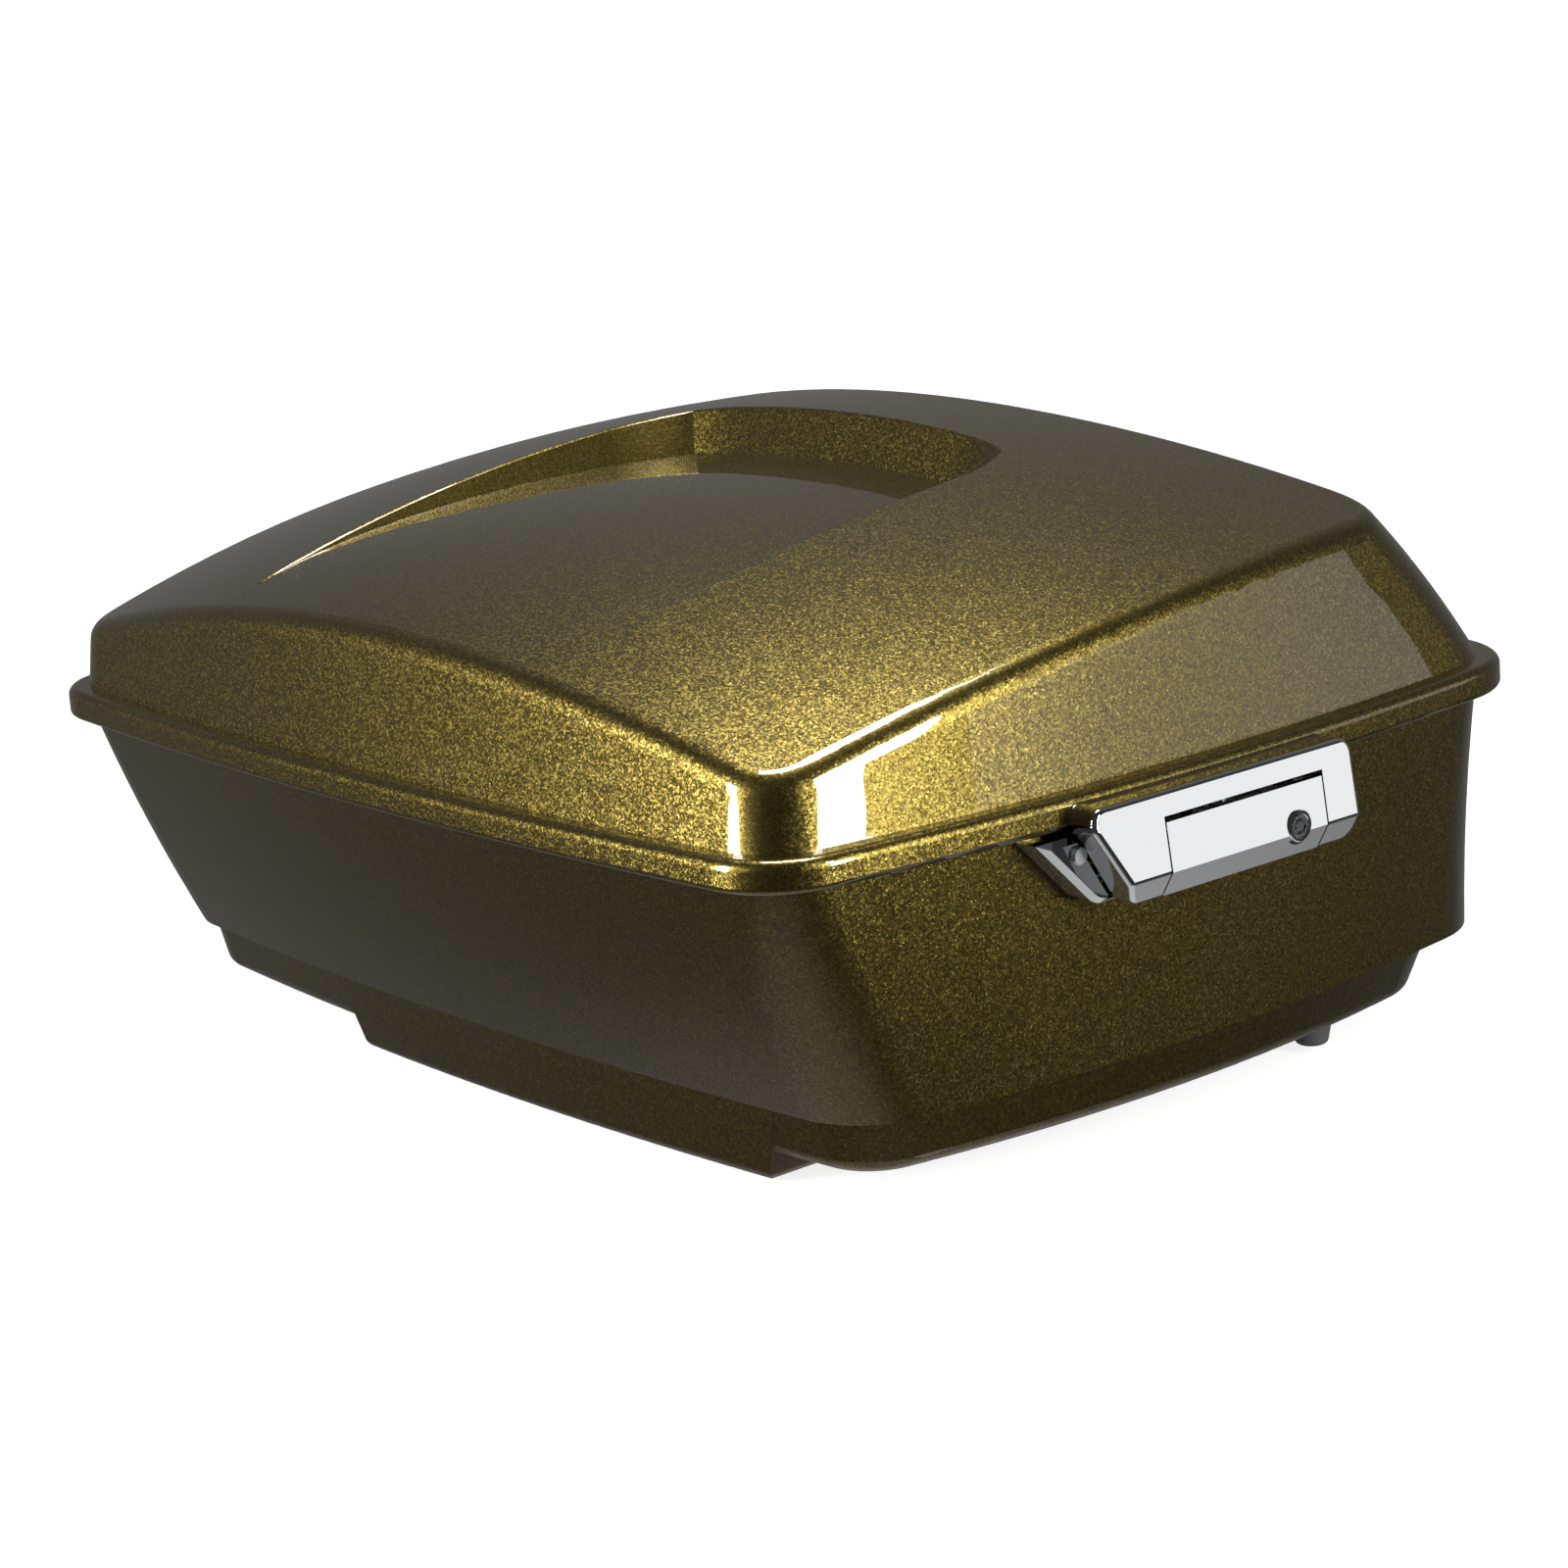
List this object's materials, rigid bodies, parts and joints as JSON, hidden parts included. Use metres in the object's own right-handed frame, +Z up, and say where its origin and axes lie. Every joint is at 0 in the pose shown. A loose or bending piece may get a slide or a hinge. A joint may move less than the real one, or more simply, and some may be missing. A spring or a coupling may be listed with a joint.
{
  "type": "motorcycle top case",
  "caption": "Hard painted luggage case for a motorcycle: side-hinged crowned lid over a moulded tub, with a keyed pull latch.",
  "frame": {"origin": "centre of the rack bolt pattern, in the underside of the base", "axes": "+X to the latch side (right), +Y towards the rider (front), +Z up"},
  "size_m": [0.7216, 0.5499, 0.322],
  "materials": {
    "paint": "olive gold metallic paint under clear coat, on moulded plastic",
    "chrome": "polished",
    "steel": "zinc plated",
    "rubber": "matt"
  },
  "bodies": {
    "tub": {"tub_shell": "paint", "floor_mat": "rubber", "rack_plate": "steel", "base_bumpers": "rubber", "wire_grommet": "rubber", "striker_base": "chrome", "striker_bar": "steel", "striker_screws": "steel", "striker_nuts": "steel", "hinge_tub_leaf_rear": "steel", "hinge_tub_leaf_front": "steel", "hinge_pin_rear": "steel", "hinge_pin_front": "steel", "hinge_tub_screws": "steel", "hinge_tub_nuts": "steel"},
    "lid": {"lid_shell": "paint", "rim_seal": "rubber", "latch_bezel": "chrome", "latch_plate": "steel", "latch_screws": "steel", "hinge_lid_leaf_rear": "steel", "hinge_lid_leaf_front": "steel", "hinge_lid_rivets": "steel"},
    "paddle": {"latch_paddle": "chrome", "paddle_pin": "steel", "lock_ring": "chrome", "upper_link_pin": "steel"},
    "hooks": {"hook_shaft": "steel", "latch_hook_rear": "steel", "latch_hook_front": "steel", "hook_spring": "steel", "lower_link_pin": "steel"},
    "link": {"trip_link": "steel"},
    "lock": {"lock_core": "chrome", "lock_cam": "steel"}
  },
  "joints": [
    {"name": "lid_hinge", "type": "hinge", "parent": "tub", "child": "lid", "pos_m": [-0.351, 0, 0.1745], "axis": [0, -1, 0], "range_deg": [0, 95]},
    {"name": "paddle_pull", "type": "hinge", "parent": "lid", "child": "paddle", "pos_m": [0.359, 0, 0.1695], "axis": [0, -1, 0], "range_deg": [0, 28], "stiffness_Nm_per_rad": 0.4},
    {"name": "hook_turn", "type": "hinge", "parent": "lid", "child": "hooks", "pos_m": [0.3495, 0, 0.1595], "axis": [0, -1, 0], "range_deg": [0, 28]},
    {"name": "link_turn", "type": "hinge", "parent": "paddle", "child": "link", "pos_m": [0.353, 0, 0.1745], "axis": [0, -1, 0], "range_deg": [-28, 0]},
    {"name": "lock_turn", "type": "hinge", "parent": "paddle", "child": "lock", "pos_m": [0.36, 0.042, 0.153], "axis": [1, 0, 0], "range_deg": [0, 90]}
  ],
  "couplings": [
    {"joint": "hook_turn", "follows": "paddle_pull", "ratio": 1},
    {"joint": "link_turn", "follows": "paddle_pull", "ratio": -1}
  ]
}
